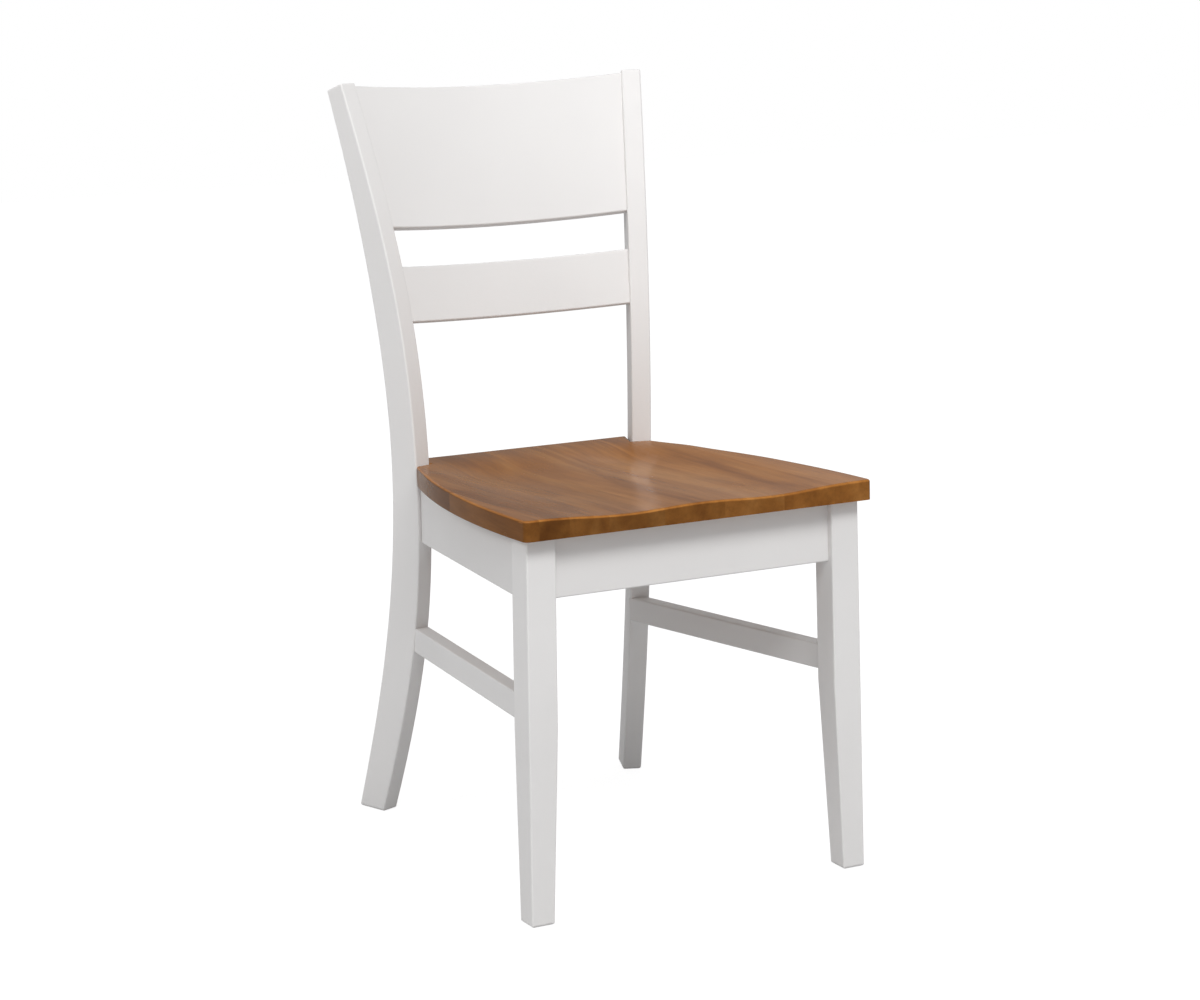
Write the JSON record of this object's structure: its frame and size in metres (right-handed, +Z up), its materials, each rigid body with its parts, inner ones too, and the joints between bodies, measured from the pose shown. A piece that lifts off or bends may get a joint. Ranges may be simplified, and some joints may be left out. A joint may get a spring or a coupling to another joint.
{
  "type": "ladderback dining chair",
  "caption": "Side chair with a tall curved crest rail, a low slat, a scooped board seat, tapered front legs and bent rear posts",
  "frame": {"origin": "on the floor, under the middle of the chair's bounding box", "axes": "+Z up; the chair faces -Y; +X is to the right for someone who looks at its front, so left in a piece's name is -X"},
  "size_m": [0.4436, 0.55, 0.8816],
  "materials": {
    "painted_wood": "opaque white satin paint",
    "seat_wood": "brown stain under satin varnish",
    "raw_hardwood": "bare sanded wood",
    "screw_steel": "plain zinc"
  },
  "bodies": {
    "root": {"front_leg_left": "painted_wood", "front_leg_right": "painted_wood", "rear_post_left": "painted_wood", "rear_post_right": "painted_wood", "crest_rail": "painted_wood", "lower_slat": "painted_wood", "front_apron": "painted_wood", "rear_apron": "painted_wood", "side_apron_left": "painted_wood", "side_apron_right": "painted_wood", "side_stretcher_left": "painted_wood", "side_stretcher_right": "painted_wood", "seat_stave_1": "seat_wood", "seat_stave_2": "seat_wood", "seat_stave_3": "seat_wood", "seat_stave_4": "seat_wood", "seat_stave_5": "seat_wood", "seat_stave_6": "seat_wood", "seat_stave_7": "seat_wood", "seat_stave_8": "seat_wood", "corner_block_front_left": "raw_hardwood", "corner_block_front_right": "raw_hardwood", "corner_block_rear_left": "raw_hardwood", "corner_block_rear_right": "raw_hardwood", "front_apron_dowels": "raw_hardwood", "rear_apron_dowels": "raw_hardwood", "side_apron_dowels_left": "raw_hardwood", "side_apron_dowels_right": "raw_hardwood", "stretcher_dowels_left": "raw_hardwood", "stretcher_dowels_right": "raw_hardwood", "crest_rail_dowels": "raw_hardwood", "lower_slat_dowels": "raw_hardwood", "corner_block_screws": "screw_steel", "seat_screws": "screw_steel"}
  },
  "joints": []
}
